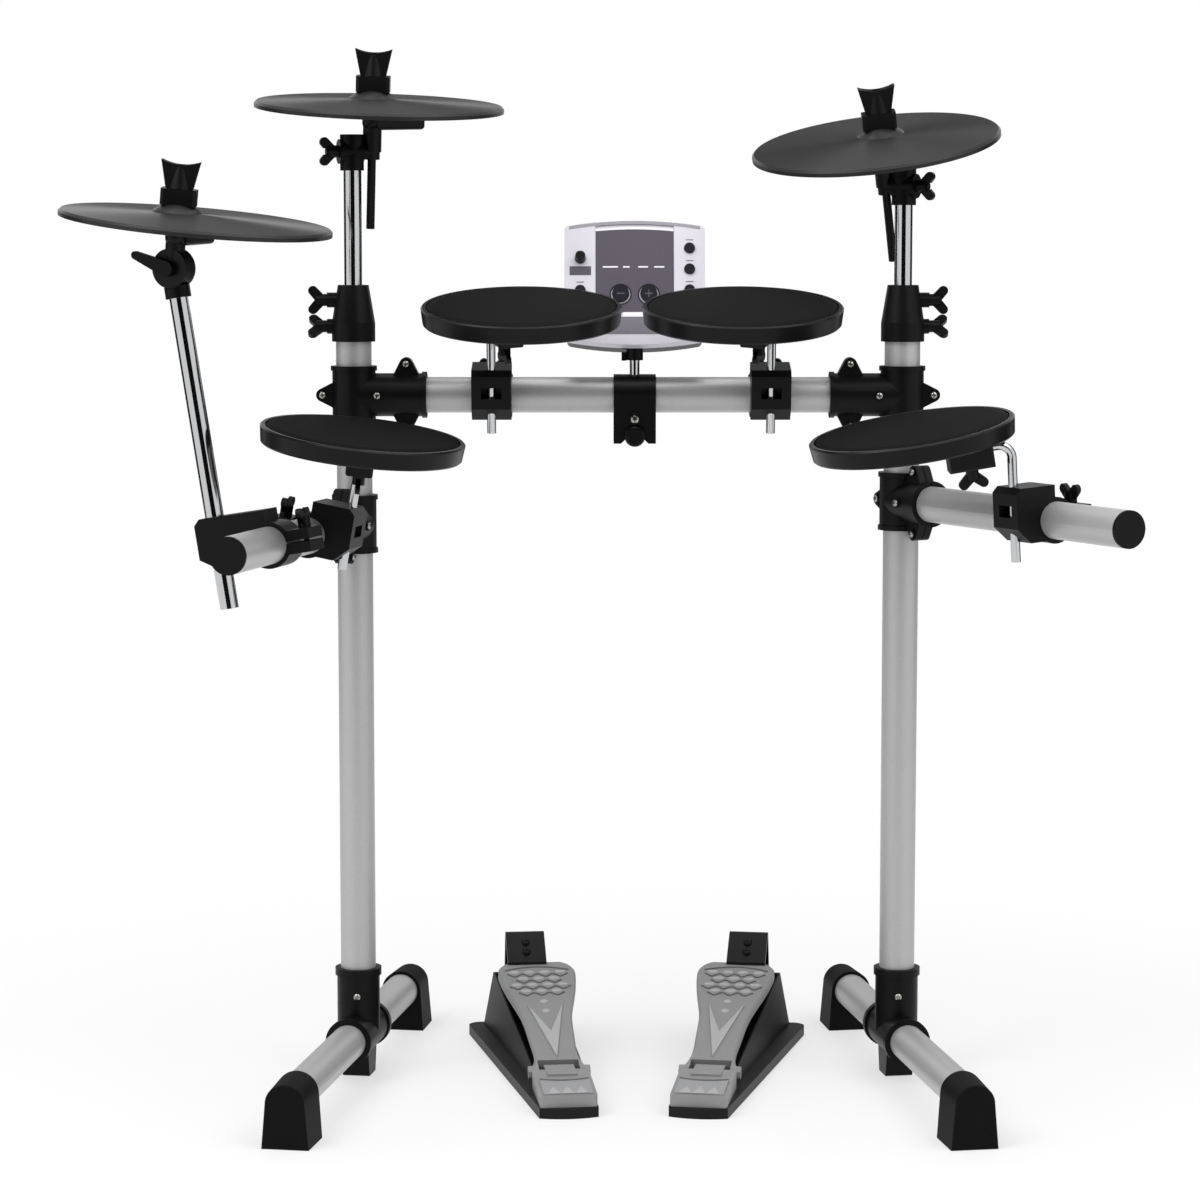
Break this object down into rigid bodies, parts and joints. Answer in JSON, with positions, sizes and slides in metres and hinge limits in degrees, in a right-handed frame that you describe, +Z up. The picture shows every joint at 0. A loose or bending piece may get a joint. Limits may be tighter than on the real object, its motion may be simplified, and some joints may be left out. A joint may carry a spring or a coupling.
{
  "type": "electronic drum kit",
  "caption": "Electronic drum kit: round drum pads, cymbal pads and a sound module clamped to a tube rack, with foot pedals.",
  "frame": {"origin": "middle of the bounding box's footprint, on the floor", "axes": "+X to the player's right, +Y away from the player, +Z up"},
  "size_m": [1.0732, 0.6346, 1.1079],
  "materials": {
    "rack_tube": "satin",
    "black_nylon": "satin",
    "foot_rubber": "matte",
    "chrome_rod": "polished",
    "black_steel": "satin",
    "steel_pin": "satin",
    "pad_rubber": "matte",
    "cymbal_rubber": "matte",
    "black_abs": "satin",
    "module_silver": "satin",
    "button_black": "satin",
    "pedal_grey": "satin",
    "pedal_dark": "satin"
  },
  "bodies": {
    "rack": {"posts": "rack_tube", "cross_bar": "rack_tube", "foot_tubes": "rack_tube", "arm_tubes": "rack_tube", "arm_end_caps": "black_nylon", "rubber_feet": "foot_rubber", "base_tees": "black_nylon", "corner_clamps": "black_nylon", "arm_clamps": "black_nylon", "boom_holders": "black_nylon", "wing_bolts": "black_steel", "tube_clamps": "black_nylon", "module_strap": "black_steel", "module_rod": "chrome_rod", "pedal_bases": "pedal_dark", "pedal_heels": "pedal_grey", "pedal_pins": "steel_pin", "pedal_springs": "steel_pin", "pedal_brackets": "black_steel"},
    "left_boom": {"left_boom_rod": "chrome_rod", "left_tilter": "black_nylon"},
    "left_stem_body": {"left_stem": "black_steel"},
    "crash": {"crash_pad": "cymbal_rubber", "crash_base": "black_abs"},
    "crash_nut_body": {"crash_nut": "black_nylon"},
    "right_boom": {"right_boom_rod": "chrome_rod", "right_tilter": "black_nylon"},
    "right_stem_body": {"right_stem": "black_steel"},
    "ride": {"ride_pad": "cymbal_rubber", "ride_base": "black_abs"},
    "ride_nut_body": {"ride_nut": "black_nylon"},
    "hihat_boom": {"hihat_rod": "chrome_rod", "hihat_tilter": "black_nylon"},
    "hihat_stem_body": {"hihat_stem": "black_steel"},
    "hihat": {"hihat_pad": "cymbal_rubber", "hihat_base": "black_abs"},
    "hihat_nut_body": {"hihat_nut": "black_nylon"},
    "tom_left_arm": {"tom_left_rod": "chrome_rod"},
    "tom_left": {"tom_left_shell": "black_abs", "tom_left_head": "pad_rubber"},
    "tom_right_arm": {"tom_right_rod": "chrome_rod"},
    "tom_right": {"tom_right_shell": "black_abs", "tom_right_head": "pad_rubber"},
    "snare_arm": {"snare_rod": "chrome_rod"},
    "snare": {"snare_shell": "black_abs", "snare_head": "pad_rubber"},
    "floor_tom_arm": {"floor_tom_rod": "chrome_rod"},
    "floor_tom": {"floor_tom_shell": "black_abs", "floor_tom_head": "pad_rubber"},
    "hihat_board_body": {"hihat_board": "pedal_grey"},
    "kick_board_body": {"kick_board": "pedal_grey"},
    "module": {"module_front": "module_silver", "module_back": "black_abs"},
    "volume_knob_body": {"volume_knob": "black_abs"},
    "button_minus_body": {"button_minus": "button_black"},
    "button_plus_body": {"button_plus": "button_black"},
    "button_left_body": {"button_left": "button_black"},
    "button_right_1_body": {"button_right_1": "button_black"},
    "button_right_2_body": {"button_right_2": "button_black"},
    "button_right_3_body": {"button_right_3": "button_black"}
  },
  "joints": [
    {"name": "left_boom_slide", "type": "slide", "parent": "rack", "child": "left_boom", "axis": [0, 0, 1], "range_m": [-0.05, 0.1]},
    {"name": "left_stem_tilt", "type": "hinge", "parent": "left_boom", "child": "left_stem_body", "pos_m": [-0.23808, 0.06093, 0.999], "axis": [0.9563, 0.2924, 0], "range_deg": [-35, 35]},
    {"name": "crash_rock", "type": "hinge", "parent": "left_stem_body", "child": "crash", "pos_m": [-0.23703, 0.05747, 1.02979], "axis": [1, 0, 0], "range_deg": [-4, 4], "stiffness_Nm_per_rad": 12},
    {"name": "crash_nut_turn", "type": "hinge", "parent": "left_stem_body", "child": "crash_nut_body", "pos_m": [-0.23535, 0.052, 1.07845], "axis": [0.0341, -0.1116, 0.9932], "continuous": true},
    {"name": "right_boom_slide", "type": "slide", "parent": "rack", "child": "right_boom", "axis": [0, 0, 1], "range_m": [-0.02, 0.1]},
    {"name": "right_stem_tilt", "type": "hinge", "parent": "right_boom", "child": "right_stem_body", "pos_m": [0.30873, 0.06505, 0.9625], "axis": [0.8746, -0.4848, 0], "range_deg": [-35, 35]},
    {"name": "ride_rock", "type": "hinge", "parent": "right_stem_body", "child": "ride", "pos_m": [0.3049, 0.05812, 0.99247], "axis": [1, 0, 0], "range_deg": [-4, 4], "stiffness_Nm_per_rad": 12},
    {"name": "ride_nut_turn", "type": "hinge", "parent": "right_stem_body", "child": "ride_nut_body", "pos_m": [0.29883, 0.04718, 1.03985], "axis": [-0.1238, -0.2234, 0.9668], "continuous": true},
    {"name": "hihat_rod_slide", "type": "slide", "parent": "rack", "child": "hihat_boom", "axis": [-0.1544, 0.0414, 0.9871], "range_m": [-0.1, 0.025]},
    {"name": "hihat_stem_tilt", "type": "hinge", "parent": "hihat_boom", "child": "hihat_stem_body", "pos_m": [-0.42406, -0.15566, 0.87869], "axis": [0.4336, 0.9006, 0.0301], "range_deg": [-30, 30]},
    {"name": "hihat_rock", "type": "hinge", "parent": "hihat_stem_body", "child": "hihat", "pos_m": [-0.42114, -0.15809, 0.90946], "axis": [1, 0, 0], "range_deg": [-4, 4], "stiffness_Nm_per_rad": 12},
    {"name": "hihat_nut_turn", "type": "hinge", "parent": "hihat_stem_body", "child": "hihat_nut_body", "pos_m": [-0.41653, -0.16193, 0.95809], "axis": [0.0941, -0.0785, 0.9925], "continuous": true},
    {"name": "tom_left_swivel", "type": "hinge", "parent": "rack", "child": "tom_left_arm", "pos_m": [-0.11055, 0.01927, 0.7345], "axis": [0, -0.1805, 0.9836], "range_deg": [-40, 8]},
    {"name": "tom_left_tilt", "type": "hinge", "parent": "tom_left_arm", "child": "tom_left", "pos_m": [-0.11055, 0.00275, 0.8245], "axis": [0.3553, -0.9194, -0.1687], "range_deg": [-30, 30]},
    {"name": "tom_right_swivel", "type": "hinge", "parent": "rack", "child": "tom_right_arm", "pos_m": [0.18545, 0.01927, 0.7345], "axis": [0, -0.1805, 0.9836], "range_deg": [-8, 40]},
    {"name": "tom_right_tilt", "type": "hinge", "parent": "tom_right_arm", "child": "tom_right", "pos_m": [0.18545, 0.00275, 0.8245], "axis": [-0.3553, -0.9194, -0.1687], "range_deg": [-30, 30]},
    {"name": "snare_swivel", "type": "hinge", "parent": "rack", "child": "snare_arm", "pos_m": [-0.25799, -0.08006, 0.5965], "axis": [0.1744, -0.0467, 0.9836], "range_deg": [-20, 45]},
    {"name": "snare_tilt", "type": "hinge", "parent": "snare_arm", "child": "snare", "pos_m": [-0.2409, -0.08464, 0.69289], "axis": [0.0435, -0.9941, -0.0993], "range_deg": [-30, 30]},
    {"name": "floor_tom_swivel", "type": "hinge", "parent": "rack", "child": "floor_tom_arm", "pos_m": [0.42037, -0.1908, 0.62518], "axis": [-0.0567, -0.0309, 0.9979], "range_deg": [-20, 50]},
    {"name": "floor_tom_tilt", "type": "hinge", "parent": "floor_tom_arm", "child": "floor_tom", "pos_m": [0.41584, -0.19327, 0.70501], "axis": [-0.9858, -0.0296, -0.1651], "range_deg": [-30, 30]},
    {"name": "hihat_board_press", "type": "hinge", "parent": "rack", "child": "hihat_board_body", "pos_m": [-0.03915, -0.03802, 0.025], "axis": [0.993, 0.1184, 0], "range_deg": [-3.2, 0], "stiffness_Nm_per_rad": 8, "springref_deg": 5.73},
    {"name": "kick_board_press", "type": "hinge", "parent": "rack", "child": "kick_board_body", "pos_m": [0.12161, -0.03851, 0.025], "axis": [0.988, -0.1547, 0], "range_deg": [-3.2, 0], "stiffness_Nm_per_rad": 8, "springref_deg": 5.73},
    {"name": "module_swivel", "type": "hinge", "parent": "rack", "child": "module", "pos_m": [0.04145, 0.05467, 0.778], "axis": [0, 0, 1], "range_deg": [-12, 12]},
    {"name": "volume_turn", "type": "hinge", "parent": "module", "child": "volume_knob_body", "pos_m": [-0.01655, 0.06211, 0.88563], "axis": [0, 0.9397, -0.342], "range_deg": [-150, 150]},
    {"name": "button_minus_press", "type": "slide", "parent": "module", "child": "button_minus_body", "axis": [0, 0.9397, -0.342], "range_m": [0, 0.0015], "stiffness_N_per_m": 800, "springref_m": -0.0005},
    {"name": "button_plus_press", "type": "slide", "parent": "module", "child": "button_plus_body", "axis": [0, 0.9397, -0.342], "range_m": [0, 0.0015], "stiffness_N_per_m": 800, "springref_m": -0.0005},
    {"name": "button_left_press", "type": "slide", "parent": "module", "child": "button_left_body", "axis": [0, 0.9397, -0.342], "range_m": [0, 0.0015], "stiffness_N_per_m": 800, "springref_m": -0.0005},
    {"name": "button_right_1_press", "type": "slide", "parent": "module", "child": "button_right_1_body", "axis": [0, 0.9397, -0.342], "range_m": [0, 0.0015], "stiffness_N_per_m": 800, "springref_m": -0.0005},
    {"name": "button_right_2_press", "type": "slide", "parent": "module", "child": "button_right_2_body", "axis": [0, 0.9397, -0.342], "range_m": [0, 0.0015], "stiffness_N_per_m": 800, "springref_m": -0.0005},
    {"name": "button_right_3_press", "type": "slide", "parent": "module", "child": "button_right_3_body", "axis": [0, 0.9397, -0.342], "range_m": [0, 0.0015], "stiffness_N_per_m": 800, "springref_m": -0.0005}
  ]
}
